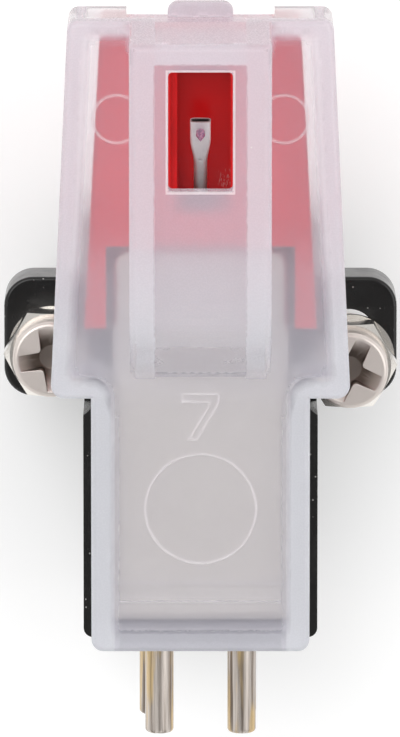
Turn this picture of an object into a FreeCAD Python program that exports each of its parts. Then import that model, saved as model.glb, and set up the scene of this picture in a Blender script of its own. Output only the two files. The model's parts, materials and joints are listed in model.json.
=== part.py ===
import FreeCAD, Part
import math
import os

# A half-inch-mount moving-magnet phono cartridge with its stylus guard on. Sizes in mm.
# The mounting face is z = 0, +Z points to the record side and +Y to the stylus end.
# The origin is midway between the two mounting screws.

V = FreeCAD.Vector
X_AXIS = V(1, 0, 0)
Y_AXIS = V(0, 1, 0)

# Cutting tools run this far past the faces they open.
OVERCUT = 1.0
# Two heights or lengths closer than this are the same.
SAME = 1e-6
# Radius of a corner that is left sharp
SQUARE = 0

# Screws, nuts and washers; the two screws stand half an inch apart
MOUNT_PITCH = 12.7
THREAD_R = 1.0
THREAD_DEPTH = 0.2
SCREW_LENGTH = 8.0
SCREW_TIP_BEVEL = 0.2
SCREW_LEFT_SHIFT = 0.48
SCREW_RIGHT_SHIFT = 0.0
SCREW_LEFT_TURN = 8.0
SCREW_RIGHT_TURN = -25.0
HEAD_R = 1.63
HEAD_H = 1.2
HEAD_EDGE_R = 0.2
CROSS_REACH = 1.38
CROSS_ROOT = 0.5
CROSS_WIDTH = 0.74
CROSS_END_WIDTH = 0.58
CROSS_DEPTH = 0.75
CROSS_CORNER_R = 0.16
NUT_SIDES = 6
NUT_ACROSS_FLATS = 3.55
NUT_H = 1.6
NUT_BEVEL = 0.28
NUT_CLEARANCE = 0.25
WASHER_R = 1.85
WASHER_CLEARANCE = 0.15
WASHER_T = 0.3
WASHER_RIGHT_SHIFT = 0.1

# Flange with its two slotted ears
FLANGE_T = 2.5
SLOT_CLEARANCE = 0.15
SLOT_FRONT_Y = 1.95
SLOT_REAR_Y = -1.35
EAR_SIDE_MARGIN = 0.9
EAR_FRONT_MARGIN = 1.38
EAR_REAR_MARGIN = 0.48
EAR_CORNER_R = 1.25
EAR_EDGE_R = 0.15

# Tray that holds the can, on the same moulding
TRAY_WALL = 1.26
TRAY_FRONT_WALL = 0.5
TRAY_WALL_H = 3.5
TRAY_OVERHANG = 0.45
TRAY_CORNER_R = 0.4
SEAT_GAP = 0.05

# Shield can, which fits between the two nuts
CAN_NUT_GAP = 0.63
CAN_FRONT_Y = 6.06
CAN_LENGTH = 15.8
CAN_H = 9.0
CAN_WALL = 0.4
CAN_CORNER_R = 0.8
CAN_EDGE_R = 0.35

# Terminal block and pins
BLOCK_LENGTH = 1.41
BLOCK_H = 7.5
BLOCK_SIDE_GAP = 0.1
PIN_R = 0.6
PIN_ROOT_R = 0.8
PIN_END_R = 0.18
PIN_REACH = 3.9
PIN_INSIDE = 0.99
PIN_UPPER_X = 1.74
PIN_LOWER_LEFT_X = -2.0
PIN_LOWER_RIGHT_X = 1.78
PIN_TOP_DEPTH = 1.0
PIN_LOWER_H = 2.75

# Stylus holder: plate, skirt, legs, recess and plug
HOLDER_STEP = 0.3
HOLDER_REAR_GAP = 0.14
HOLDER_PLATE_LENGTH = 8.8
HOLDER_TAPER = 0.66
HOLDER_H = 3.5
HOLDER_PLATE_T = 1.0
HOLDER_WALL = 0.9
HOLDER_CORNER_R = 0.2
HOLDER_EDGE_R = 0.15
LEG_LENGTH = 3.5
LEG_GAP = 0.27
LEG_T = 0.91
RECESS_WIDTH = 2.5
RECESS_DEPTH = 1.9
RECESS_REAR_RUN = 1.45
RECESS_FRONT_RUN = 1.15
RECESS_CORNER_R = 0.25
RECESS_WALL = 0.8
RECESS_FLOOR_T = 0.7
LEDGE_WIDTH = 0.28
LEDGE_H = 1.6
PLUG_WIDTH = 3.5
PLUG_H = 3.35
PLUG_LENGTH = 3.3
PLUG_GAP = 0.08
PLUG_TOP_GAP = 0.15
PLUG_WALL = 0.5
PLUG_ROOF = 0.35

# Cantilever line: its pivot is ahead of the can and below the can's record side
PIVOT_AHEAD = 0.94
PIVOT_DEPTH = 1.15
CANTILEVER_ANGLE = 27.0
CANTILEVER_LENGTH = 5.17
CANTILEVER_TAIL = 1.2
CANTILEVER_R = 0.28
CANTILEVER_WALL = 0.08
FLAT_LENGTH = 0.85
FLAT_BLEND = 1.5
FLAT_WIDTH = 0.88
FLAT_T = 0.34
CRIMP_INSET = 0.12
CRIMP_WIDTH = 0.06
CRIMP_DEPTH = 0.05
BORE_END = 0.3
SLEEVE_WALL = 0.25
SLEEVE_FRONT = 1.1
SLEEVE_TAIL = 0.7
DAMPER_LENGTH = 0.5
DAMPER_T = 0.14
DAMPER_GAP = 0.04
MAGNET_CARRIER_WALL = 0.22
MAGNET_CARRIER_GAP = 0.15
MAGNET_CARRIER_LENGTH = 2.05
MAGNET_SWING_ROOM = 0.15
MAGNET_R = 0.24
MAGNET_LENGTH = 1.5
MAGNET_V_ANGLE = 90.0
WIRE_R = 0.05
ANCHOR_R = 0.35
ANCHOR_INSIDE = 0.35
ANCHOR_OUTSIDE = 0.1

# Diamond
TIP_R = 0.19
TIP_SET_BACK = 0.5
TIP_SHANK = 0.2
TIP_CONE = 0.42
TIP_POINT_R = 0.02

# Coils, on bobbins around the pole pieces
CORE_T = 0.6
CORE_H = 1.6
CORE_PLUG_GAP = 0.1
CORE_FRONT_GAP = 0.16
CORE_JOG_LENGTH = 0.9
CORE_OVERHANG = 0.3
BOBBIN_SET_BACK = 2.1
BOBBIN_REAR_GAP = 2.84
BOBBIN_SIDE_GAP = 0.12
BOBBIN_MIDDLE_GAP = 0.3
BOBBIN_FIT = 0.05
BOBBIN_WALL = 0.3
BOBBIN_CHEEK_T = 0.4
BOBBIN_CHEEK_H = 3.2
COIL_INSET = 0.12
COIL_CORNER_R = 0.3
CARRIER_SIDE_GAP = 0.27
CARRIER_PLATE_T = 1.0
CARRIER_LEG_T = 1.0

# Stylus guard
GUARD_WALL = 0.8
GUARD_FRONT_WALL = 0.62
GUARD_PLATE_T = 1.0
GUARD_TOP_GAP = 0.2
GUARD_FRONT_GAP = 0.14
GUARD_NOSE_GAP = 0.51
GUARD_LEG_GAP = 0.6
GUARD_CAN_GAP = 0.09
GUARD_STEP_GAP = 2.0
GUARD_REAR_GAP = 0.3
GUARD_SKIRT_H = 4.9
GUARD_NOSE_R = 0.45
GUARD_STEP_R = 0.55
GUARD_REAR_R = 0.5
GUARD_EDGE_R = 0.25
GUARD_REAR_CLEAR = 0.15
NOTCH_WIDTH = 6.2
NOTCH_EDGE_DROP = 2.3
TAB_WIDTH = 2.72
TAB_REACH = 0.6
TAB_T = 0.8
TAB_CORNER_R = 0.45
HUMP_WIDTH = 5.86
HUMP_H = 3.8
HUMP_WALL = 1.03
HUMP_END_WALL = 0.8
HUMP_REAR_WALL = 0.4
HUMP_TOP_T = 1.0
HUMP_LEAN = 0.49
HUMP_REAR_LEAN = 2.55
HUMP_CREST_R = 3.0
HUMP_LENGTH = 15.01
HUMP_EDGE_R = 0.35
WINDOW_WIDTH = 2.66
WINDOW_LENGTH = 4.94
WINDOW_FRONT_INSET = 1.11
WINDOW_CORNER_R = 0.18
RIB_INSET = 0.89
RIB_T = 0.75
RIB_GAP = 0.05
MARK_H = 0.06
MARK_LINE = 0.11
NOSE_RING_X = 3.48
NOSE_RING_INSET = 4.18
NOSE_RING_R = 1.0
REAR_RING_INSET = 4.88
REAR_RING_R = 2.32
NUMERAL_SET_BACK = 1.7
NUMERAL_WIDTH = 1.6
NUMERAL_H = 2.05
NUMERAL_STROKE = 0.45

# Heights that several pieces share
tray_top_z = FLANGE_T + TRAY_WALL_H
can_top_z = FLANGE_T + CAN_H
can_roof_z = can_top_z - CAN_WALL
holder_top_z = can_top_z + HOLDER_STEP
holder_low_z = holder_top_z - HOLDER_H
recess_floor_z = holder_top_z - RECESS_DEPTH
plug_top_z = can_roof_z - PLUG_TOP_GAP
plug_low_z = plug_top_z - PLUG_H
guard_inner_z = holder_top_z + GUARD_TOP_GAP
guard_top_z = guard_inner_z + GUARD_PLATE_T
guard_skirt_z = guard_top_z - GUARD_SKIRT_H
notch_z = guard_top_z - NOTCH_EDGE_DROP
hump_top_z = guard_top_z + HUMP_H
block_top_z = FLANGE_T + BLOCK_H
bobbin_z = can_roof_z - BOBBIN_CHEEK_H / 2 - COIL_INSET
washer_top_z = FLANGE_T + WASHER_T
nut_top_z = washer_top_z + NUT_H
head_top_z = nut_top_z + HEAD_H

# Fasteners and the slots they stand in
thread_core_r = THREAD_R - THREAD_DEPTH
nut_corner_r = NUT_ACROSS_FLATS / 2 / math.cos(math.pi / NUT_SIDES)
washer_reach = WASHER_R + WASHER_RIGHT_SHIFT * math.sqrt(2)
nut_room_r = max(nut_corner_r, washer_reach) + NUT_CLEARANCE
slot_r = THREAD_R + SLOT_CLEARANCE
slot_x = MOUNT_PITCH / 2
slot_front = SLOT_FRONT_Y - slot_r
slot_rear = SLOT_REAR_Y + slot_r
screw_left_y = slot_rear + SCREW_LEFT_SHIFT
screw_right_y = slot_rear + SCREW_RIGHT_SHIFT

# Can, tray, block and pins
can_half = slot_x - nut_corner_r - CAN_NUT_GAP
can_inner = can_half - CAN_WALL
can_rear_y = CAN_FRONT_Y - CAN_LENGTH
seat_half = can_half + SEAT_GAP
seat_front_y = CAN_FRONT_Y + SEAT_GAP
tray_half = seat_half + TRAY_WALL
tray_front_y = seat_front_y + TRAY_FRONT_WALL
block_front_y = can_rear_y - SEAT_GAP
block_rear_y = block_front_y - BLOCK_LENGTH
tray_rear_y = block_rear_y - TRAY_OVERHANG
pin_rear_y = block_rear_y - PIN_REACH

# Stylus holder
plate_rear_y = CAN_FRONT_Y + HOLDER_REAR_GAP
holder_front_y = plate_rear_y + HOLDER_PLATE_LENGTH
leg_rear_y = plate_rear_y - LEG_LENGTH
leg_inner = can_half + LEG_GAP
holder_rear_half = leg_inner + LEG_T
holder_front_half = holder_rear_half - HOLDER_TAPER
recess_rear_y = plate_rear_y + RECESS_REAR_RUN
recess_front_y = holder_front_y - RECESS_FRONT_RUN
plug_half = PLUG_WIDTH / 2
plug_rear_y = plate_rear_y - PLUG_LENGTH

# Cantilever line: distances along it are measured from the pivot
pivot = V(0, CAN_FRONT_Y + PIVOT_AHEAD, can_top_z - PIVOT_DEPTH)
pivot_frame = FreeCAD.Placement(pivot, FreeCAD.Rotation(X_AXIS, CANTILEVER_ANGLE - 90))
line_run = math.cos(math.radians(CANTILEVER_ANGLE))
cantilever_bore_r = CANTILEVER_R - CANTILEVER_WALL
damper_bore_r = CANTILEVER_R + DAMPER_GAP
damper_r = damper_bore_r + DAMPER_T
sleeve_bore_r = damper_r + DAMPER_GAP
sleeve_r = sleeve_bore_r + SLEEVE_WALL
magnet_carrier_r = CANTILEVER_R + MAGNET_CARRIER_WALL
magnet_front = SLEEVE_TAIL + MAGNET_CARRIER_GAP
magnet_rear = magnet_front + MAGNET_CARRIER_LENGTH
anchor_front = (pivot.y - plug_rear_y - PLUG_WALL) / line_run - ANCHOR_INSIDE
anchor_tail = (pivot.y - plug_rear_y) / line_run + ANCHOR_OUTSIDE

# Pole pieces, bobbins and coils, for the right-hand side
core_jog_y = plug_rear_y - CORE_PLUG_GAP
core_bar_y = core_jog_y - CORE_JOG_LENGTH
bobbin_front_y = core_bar_y - BOBBIN_SET_BACK
bobbin_rear_y = can_rear_y + BOBBIN_REAR_GAP
cheek_width = can_inner - BOBBIN_SIDE_GAP - BOBBIN_MIDDLE_GAP / 2
bobbin_x = BOBBIN_MIDDLE_GAP / 2 + cheek_width / 2
bobbin_hole_width = CORE_T + 2 * BOBBIN_FIT
bobbin_hole_h = CORE_H + 2 * BOBBIN_FIT
bobbin_tube_width = bobbin_hole_width + 2 * BOBBIN_WALL
bobbin_tube_h = bobbin_hole_h + 2 * BOBBIN_WALL

# Stylus guard
guard_inner_front_y = holder_front_y + GUARD_FRONT_GAP
guard_front_y = guard_inner_front_y + GUARD_FRONT_WALL
guard_inner_rear_y = can_rear_y - GUARD_REAR_GAP
guard_rear_y = guard_inner_rear_y - GUARD_WALL
guard_step_y = leg_rear_y - GUARD_STEP_GAP - GUARD_WALL
guard_nose_half = holder_front_half + GUARD_NOSE_GAP
guard_leg_half = holder_rear_half + GUARD_LEG_GAP
guard_can_half = can_half + GUARD_CAN_GAP
hump_half = HUMP_WIDTH / 2
hump_rear_y = guard_front_y - HUMP_LENGTH
hump_lip_y = guard_front_y - HUMP_LEAN


def block(x0, x1, y0, y1, z0, z1):
    return Part.makeBox(x1 - x0, y1 - y0, z1 - z0, V(x0, y0, z0))


def rod(radius, z0, z1, x=0, y=0):
    return Part.makeCylinder(radius, z1 - z0, V(x, y, z0))


def tube(radius, bore, z0, z1):
    return rod(radius, z0, z1).cut(rod(bore, z0 - OVERCUT, z1 + OVERCUT))


def outline(corners, z):
    """Closed wire at height z through corners given as (x, y, radius)."""
    points = [V(x, y, z) for x, y, radius in corners]
    starts, middles, ends = [], [], []
    for i, here in enumerate(points):
        radius = corners[i][2]
        back = (points[i - 1] - here).normalize()
        ahead = (points[(i + 1) % len(points)] - here).normalize()
        half_angle = back.getAngle(ahead) / 2
        run = radius / math.tan(half_angle)
        inward = (back + ahead).normalize()
        starts.append(here + back * run)
        ends.append(here + ahead * run)
        middles.append(here + inward * (radius / math.sin(half_angle) - radius))
    edges = []
    for i in range(len(points)):
        if corners[i][2] > 0:
            edges.append(Part.Arc(starts[i], middles[i], ends[i]).toShape())
        edges.append(Part.LineSegment(ends[i], starts[(i + 1) % len(points)]).toShape())
    return Part.Wire(edges)


def prism(corners, z0, z1):
    return Part.Face(outline(corners, z0)).extrude(V(0, 0, z1 - z0))


def rectangle(x0, x1, y0, y1, radius):
    return [(x1, y1, radius), (x0, y1, radius), (x0, y0, radius), (x1, y0, radius)]


def stadium(radius, x, y0, y1, z0, z1):
    """Upright slot shape along Y, with round ends centred at y0 and y1."""
    ends = rod(radius, z0, z1, x, y0).fuse(rod(radius, z0, z1, x, y1))
    return ends.fuse(block(x - radius, x + radius, y0, y1, z0, z1)).removeSplitter()


def side_profile(points, half_width):
    """Solid of a (y, z) outline, spread evenly to both sides of the middle plane."""
    corners = [V(-half_width, y, z) for y, z in points]
    wire = Part.makePolygon(corners + corners[:1])
    return Part.Face(wire).extrude(X_AXIS * (2 * half_width))


def round_rim(shape, z, radius):
    """Round every edge that lies at height z."""
    rim = [e for e in shape.Edges if all(abs(v.Z - z) < SAME for v in e.Vertexes)]
    return shape.makeFillet(radius, rim)


def on_pivot_line(shape):
    """Move a shape built along +Z from the origin onto the cantilever's line."""
    shape.Placement = pivot_frame.multiply(shape.Placement)
    return shape


def mount_body():
    ear_half = slot_x + slot_r + EAR_SIDE_MARGIN
    ear_front_y = SLOT_FRONT_Y + EAR_FRONT_MARGIN
    ear_rear_y = SLOT_REAR_Y - EAR_REAR_MARGIN
    ears = prism(rectangle(-ear_half, ear_half, ear_rear_y, ear_front_y, EAR_CORNER_R), 0, FLANGE_T)
    ears = round_rim(ears, FLANGE_T, EAR_EDGE_R)
    tray_plan = rectangle(-tray_half, tray_half, tray_rear_y, tray_front_y, TRAY_CORNER_R)
    body = ears.fuse(prism(tray_plan, 0, tray_top_z))
    body = body.cut(block(-seat_half, seat_half, tray_rear_y - OVERCUT, seat_front_y,
                          FLANGE_T, tray_top_z + OVERCUT))
    for x in (-slot_x, slot_x):
        body = body.cut(stadium(slot_r, x, slot_rear, slot_front, -OVERCUT, FLANGE_T + OVERCUT))
        body = body.cut(stadium(nut_room_r, x, slot_rear, slot_front, FLANGE_T, tray_top_z + OVERCUT))
    return body.removeSplitter()


def can_plan(half, front_y, rear_y, radius):
    """Can outline in plan: round at the front, square where the rear is open."""
    return [(half, front_y, radius), (-half, front_y, radius),
            (-half, rear_y, SQUARE), (half, rear_y, SQUARE)]


def shield_can():
    shell = prism(can_plan(can_half, CAN_FRONT_Y, can_rear_y, CAN_CORNER_R), FLANGE_T, can_top_z)
    shell = round_rim(shell, can_top_z, CAN_EDGE_R)
    inner_front = CAN_FRONT_Y - CAN_WALL
    hollow_plan = can_plan(can_inner, inner_front, can_rear_y - OVERCUT, CAN_CORNER_R - CAN_WALL)
    hollow = prism(hollow_plan, FLANGE_T - OVERCUT, can_roof_z)
    socket_half = plug_half + PLUG_GAP
    socket = block(-socket_half, socket_half, inner_front - OVERCUT, CAN_FRONT_Y + OVERCUT,
                   plug_low_z - PLUG_GAP, plug_top_z + PLUG_GAP)
    return shell.cut(hollow).cut(socket)


def round_tip(shape, y):
    """Round the rim of a pin's end face at y."""
    rim = [e for e in shape.Edges if all(abs(v.Y - y) < SAME for v in e.Vertexes)]
    return shape.makeFillet(PIN_END_R, rim)


def pin(x, z):
    """One terminal pin along Y, thicker where the block is moulded round it, with round ends."""
    front_y = block_front_y + PIN_INSIDE
    root = Part.makeCylinder(PIN_ROOT_R, front_y - block_rear_y, V(x, block_rear_y, z), Y_AXIS)
    end = Part.makeCylinder(PIN_R, PIN_REACH, V(x, pin_rear_y, z), Y_AXIS)
    return round_tip(root, front_y).fuse(round_tip(end, pin_rear_y))


def pins():
    upper_z = block_top_z - PIN_TOP_DEPTH
    lower_z = FLANGE_T + PIN_LOWER_H
    return {
        "pin_upper_left": pin(-PIN_UPPER_X, upper_z),
        "pin_upper_right": pin(PIN_UPPER_X, upper_z),
        "pin_lower_left": pin(PIN_LOWER_LEFT_X, lower_z),
        "pin_lower_right": pin(PIN_LOWER_RIGHT_X, lower_z),
    }


def terminal_block(pin_shapes):
    half = can_half - BLOCK_SIDE_GAP
    shape = block(-half, half, block_rear_y, block_front_y, FLANGE_T, block_top_z)
    for pin_shape in pin_shapes:
        shape = shape.cut(pin_shape)
    return shape


def core():
    """Right-hand pole piece: a tip beside the plug, a jog, and a bar through the bobbin."""
    tip_x = plug_half + CORE_PLUG_GAP
    bar_x = bobbin_x - CORE_T / 2
    tip_y = CAN_FRONT_Y - CAN_WALL - CORE_FRONT_GAP
    rear_y = bobbin_rear_y - CORE_OVERHANG
    inner = [(tip_x, tip_y), (tip_x, core_jog_y), (bar_x, core_bar_y), (bar_x, rear_y)]
    outer = [(x + CORE_T, y) for x, y in reversed(inner)]
    corners = [(x, y, SQUARE) for x, y in inner + outer]
    return prism(corners, bobbin_z - CORE_H / 2, bobbin_z + CORE_H / 2)


def centred_bar(width, height, y0, y1):
    """Bar along Y around the right-hand bobbin's axis."""
    return block(bobbin_x - width / 2, bobbin_x + width / 2, y0, y1,
                 bobbin_z - height / 2, bobbin_z + height / 2)


def bobbin():
    shape = centred_bar(bobbin_tube_width, bobbin_tube_h, bobbin_rear_y, bobbin_front_y)
    for cheek_y in (bobbin_rear_y, bobbin_front_y - BOBBIN_CHEEK_T):
        shape = shape.fuse(centred_bar(cheek_width, BOBBIN_CHEEK_H, cheek_y, cheek_y + BOBBIN_CHEEK_T))
    hole = centred_bar(bobbin_hole_width, bobbin_hole_h, bobbin_rear_y - OVERCUT, bobbin_front_y + OVERCUT)
    return shape.cut(hole).removeSplitter()


def coil():
    rear_y = bobbin_rear_y + BOBBIN_CHEEK_T
    front_y = bobbin_front_y - BOBBIN_CHEEK_T
    winding = centred_bar(cheek_width - 2 * COIL_INSET, BOBBIN_CHEEK_H - 2 * COIL_INSET, rear_y, front_y)
    along = [e for e in winding.Edges if abs(e.tangentAt(e.FirstParameter).y) > 0.5]
    winding = winding.makeFillet(COIL_CORNER_R, along)
    return winding.cut(centred_bar(bobbin_tube_width, bobbin_tube_h, rear_y, front_y))


def coil_carrier():
    half = can_inner - CARRIER_SIDE_GAP
    top_z = bobbin_z - BOBBIN_CHEEK_H / 2
    shape = block(-half, half, bobbin_rear_y, bobbin_front_y, FLANGE_T, top_z)
    hollow_rear = bobbin_rear_y + CARRIER_LEG_T
    hollow_front = bobbin_front_y - CARRIER_LEG_T
    return shape.cut(block(-half - OVERCUT, half + OVERCUT, hollow_rear, hollow_front,
                           FLANGE_T - OVERCUT, top_z - CARRIER_PLATE_T))


def holder_half(y):
    """Half width of the holder's tapered sides at y."""
    forward = (y - leg_rear_y) / (holder_front_y - leg_rear_y)
    return holder_rear_half - HOLDER_TAPER * forward


def holder_plan(front_half, front_y, rear_half, rear_y, radius):
    return [(front_half, front_y, radius), (-front_half, front_y, radius),
            (-rear_half, rear_y, SQUARE), (rear_half, rear_y, SQUARE)]


def recess_ledge():
    """Ledge along the left wall of the recess, sunk into the wall and the floor."""
    left = -RECESS_WIDTH / 2
    return block(left - RECESS_WALL / 2, left + LEDGE_WIDTH, recess_rear_y, recess_front_y,
                 recess_floor_z - RECESS_FLOOR_T / 2, recess_floor_z + LEDGE_H)


def stylus_holder():
    plan = holder_plan(holder_front_half, holder_front_y, holder_rear_half, leg_rear_y, HOLDER_CORNER_R)
    shape = round_rim(prism(plan, holder_low_z, holder_top_z), holder_top_z, HOLDER_EDGE_R)
    shape = shape.cut(block(-leg_inner, leg_inner, leg_rear_y - OVERCUT, plate_rear_y,
                            holder_low_z - OVERCUT, holder_top_z + OVERCUT))
    plate_low_z = holder_top_z - HOLDER_PLATE_T
    hollow_front = holder_front_y - HOLDER_WALL
    hollow_plan = holder_plan(holder_half(hollow_front) - HOLDER_WALL, hollow_front,
                              holder_half(plate_rear_y) - HOLDER_WALL, plate_rear_y, SQUARE)
    shape = shape.cut(prism(hollow_plan, holder_low_z - OVERCUT, plate_low_z))
    recess_half = RECESS_WIDTH / 2
    spine_half = recess_half + RECESS_WALL
    spine_low_z = recess_floor_z - RECESS_FLOOR_T
    shape = shape.fuse(block(-spine_half, spine_half, plate_rear_y, hollow_front, spine_low_z, plate_low_z))
    shape = shape.fuse(block(-plug_half, plug_half, plug_rear_y, recess_rear_y, plug_low_z, plug_top_z))
    recess_plan = rectangle(-recess_half, recess_half, recess_rear_y, recess_front_y, RECESS_CORNER_R)
    shape = shape.cut(prism(recess_plan, recess_floor_z, holder_top_z + OVERCUT))
    shape = shape.fuse(recess_ledge())
    pocket_half = plug_half - PLUG_WALL
    pocket_front = pivot.y - SLEEVE_TAIL * line_run
    shape = shape.cut(block(-pocket_half, pocket_half, plug_rear_y + PLUG_WALL, pocket_front,
                            plug_low_z - OVERCUT, plug_top_z - PLUG_ROOF))
    shape = shape.cut(on_pivot_line(rod(sleeve_r, -SLEEVE_TAIL, SLEEVE_FRONT)))
    shape = shape.cut(on_pivot_line(rod(magnet_carrier_r + MAGNET_SWING_ROOM, -magnet_rear, 0)))
    shape = shape.cut(on_pivot_line(rod(ANCHOR_R, -anchor_tail, -anchor_front)))
    return shape.removeSplitter()


def wire_anchor():
    return on_pivot_line(rod(ANCHOR_R, -anchor_tail, -anchor_front))


def tension_wire():
    return on_pivot_line(rod(WIRE_R, -anchor_front, 0))


def pivot_sleeve():
    return on_pivot_line(tube(sleeve_r, sleeve_bore_r, -SLEEVE_TAIL, SLEEVE_FRONT))


def damper():
    half = DAMPER_LENGTH / 2
    return on_pivot_line(tube(damper_r, damper_bore_r, -half, half))


def ellipse_wire(half_width, half_thickness, z):
    ellipse = Part.Ellipse(V(0, 0, z), half_width, half_thickness)
    return Part.Wire([ellipse.toShape()])


def cantilever():
    """Round tube that is squeezed flat towards its end, with a crimp line and the diamond's hole."""
    flat_z = CANTILEVER_LENGTH - FLAT_LENGTH
    blend_z = flat_z - FLAT_BLEND
    half_width, half_t = FLAT_WIDTH / 2, FLAT_T / 2
    shape = rod(CANTILEVER_R, -CANTILEVER_TAIL, blend_z)
    round_end = Part.Wire([Part.Circle(V(0, 0, blend_z), V(0, 0, 1), CANTILEVER_R).toShape()])
    shape = shape.fuse(Part.makeLoft([round_end, ellipse_wire(half_width, half_t, flat_z)], True))
    flat = Part.Face(ellipse_wire(half_width, half_t, flat_z)).extrude(V(0, 0, FLAT_LENGTH))
    shape = shape.fuse(flat)
    shape = shape.cut(rod(cantilever_bore_r, -CANTILEVER_TAIL - OVERCUT, BORE_END))
    crimp_z = CANTILEVER_LENGTH - CRIMP_INSET
    shape = shape.cut(block(-half_width, half_width, -half_t - OVERCUT, CRIMP_DEPTH - half_t,
                            crimp_z - CRIMP_WIDTH, crimp_z))
    return on_pivot_line(shape.cut(tip_blank()))


def tip_blank():
    """The diamond, square across the cantilever, with its point on the record side."""
    z = CANTILEVER_LENGTH - TIP_SET_BACK
    half_t = FLAT_T / 2
    shank = Part.makeCylinder(TIP_R, FLAT_T + TIP_SHANK, V(0, half_t, z), -Y_AXIS)
    cone = Part.makeCone(TIP_R, TIP_POINT_R, TIP_CONE, V(0, -half_t - TIP_SHANK, z), -Y_AXIS)
    return shank.fuse(cone)


def stylus_tip():
    return on_pivot_line(tip_blank())


def magnet_blank(side):
    """One rod magnet, half sunk in the carrier, on the mounting side of the cantilever's line."""
    half_v = math.radians(MAGNET_V_ANGLE / 2)
    x = side * magnet_carrier_r * math.sin(half_v)
    y = magnet_carrier_r * math.cos(half_v)
    return rod(MAGNET_R, -magnet_rear, MAGNET_LENGTH - magnet_rear, x, y)


def magnet_carrier():
    shape = tube(magnet_carrier_r, CANTILEVER_R, -magnet_rear, -magnet_front)
    for side in (-1, 1):
        shape = shape.cut(magnet_blank(side))
    return on_pivot_line(shape)


def magnet(side):
    bore = rod(CANTILEVER_R, -magnet_rear - OVERCUT, 0)
    return on_pivot_line(magnet_blank(side).cut(bore))


def guard_plan(inset):
    """Guard outline in plan: wide round the holder, stepped in round the can."""
    nose = guard_nose_half + GUARD_WALL - inset
    leg = guard_leg_half + GUARD_WALL - inset
    can = guard_can_half + GUARD_WALL - inset
    front_y = guard_front_y - inset * GUARD_FRONT_WALL / GUARD_WALL
    step_y = guard_step_y + inset
    rear_y = guard_rear_y + inset
    nose_r = max(GUARD_NOSE_R - inset, 0)
    step_r = max(GUARD_STEP_R - inset, 0)
    rear_r = max(GUARD_REAR_R - inset, 0)
    half = [(nose, front_y, nose_r), (leg, step_y, step_r), (can, step_y, inset), (can, rear_y, rear_r)]
    return [(-x, y, r) for x, y, r in half] + half[::-1]


def ring_mark(x, y, radius):
    low_z = guard_inner_z - MARK_H
    outer = rod(radius + MARK_LINE / 2, low_z, guard_inner_z, x, y)
    return outer.cut(rod(radius - MARK_LINE / 2, low_z, guard_inner_z, x, y))


def numeral_mark():
    """Raised outline of a plain numeral seven, as a mould cavity number."""
    middle_y = hump_rear_y - NUMERAL_SET_BACK
    left, right = -NUMERAL_WIDTH / 2, NUMERAL_WIDTH / 2
    top, bottom = middle_y + NUMERAL_H / 2, middle_y - NUMERAL_H / 2
    bar_y = top - NUMERAL_STROKE
    foot = left + NUMERAL_STROKE / 2
    points = [(left, top), (left, bar_y), (right - NUMERAL_STROKE, bar_y), (foot, bottom),
              (foot + NUMERAL_STROKE, bottom), (right, bar_y), (right, top)]
    face = Part.Face(outline([(x, y, SQUARE) for x, y in points], guard_inner_z - MARK_H))
    band = face.cut(face.makeOffset2D(-MARK_LINE))
    return band.extrude(V(0, 0, MARK_H))


def guard_marks():
    """Ejector rings and the numeral, raised inside the guard's plate."""
    nose_y = guard_front_y - NOSE_RING_INSET
    rear_y = can_rear_y + REAR_RING_INSET
    return [ring_mark(-NOSE_RING_X, nose_y, NOSE_RING_R), ring_mark(NOSE_RING_X, nose_y, NOSE_RING_R),
            ring_mark(0, rear_y, REAR_RING_R), numeral_mark()]


def round_crest(shape, y, z, radius):
    """Round the edge across the middle plane at y and z."""
    crest = [e for e in shape.Edges if all(abs(v.Y - y) + abs(v.Z - z) < SAME for v in e.Vertexes)]
    return shape.makeFillet(radius, crest)


def guard_hump():
    """Raised box over the cantilever: its front leans in, and its rear falls away in a round crest."""
    crest_y = hump_rear_y + HUMP_REAR_LEAN
    hump = side_profile([(hump_rear_y, guard_inner_z), (hump_rear_y, guard_top_z), (crest_y, hump_top_z),
                         (hump_lip_y, hump_top_z), (guard_front_y, guard_top_z),
                         (guard_front_y, guard_inner_z)], hump_half)
    hump = round_crest(hump, crest_y, hump_top_z, HUMP_CREST_R)
    rim = [e for e in hump.Edges if abs(e.CenterOfMass.z - hump_top_z) < SAME]
    # The smooth seam between the top and the crest stays out, and the sides' rounding follows the crest down.
    rim = [e for e in rim if abs(e.CenterOfMass.x) > SAME or abs(e.CenterOfMass.y - hump_lip_y) < SAME]
    return hump.makeFillet(HUMP_EDGE_R, rim)


def hump_openings():
    """Cavity under the hump, and the window through its top."""
    cavity_top_z = hump_top_z - HUMP_TOP_T
    rear_y = hump_rear_y + HUMP_REAR_WALL
    top_rear_y = rear_y + HUMP_REAR_LEAN * (cavity_top_z - guard_top_z) / HUMP_H
    front_y = hump_lip_y - HUMP_END_WALL
    low_z = guard_inner_z - OVERCUT
    cavity = side_profile([(rear_y, low_z), (rear_y, guard_top_z), (top_rear_y, cavity_top_z),
                           (front_y, cavity_top_z), (front_y, low_z)], hump_half - HUMP_WALL)
    cavity = round_crest(cavity, top_rear_y, cavity_top_z, HUMP_CREST_R - HUMP_TOP_T)
    window_front_y = hump_lip_y - WINDOW_FRONT_INSET
    half = WINDOW_WIDTH / 2
    window_plan = rectangle(-half, half, window_front_y - WINDOW_LENGTH, window_front_y, WINDOW_CORNER_R)
    return cavity.fuse(prism(window_plan, cavity_top_z - OVERCUT, hump_top_z + OVERCUT))


def finger_tab():
    half = TAB_WIDTH / 2
    front_y = guard_front_y + TAB_REACH
    plan = [(half, front_y, TAB_CORNER_R), (-half, front_y, TAB_CORNER_R),
            (-half, guard_inner_front_y, SQUARE), (half, guard_inner_front_y, SQUARE)]
    return prism(plan, notch_z, notch_z + TAB_T)


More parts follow.
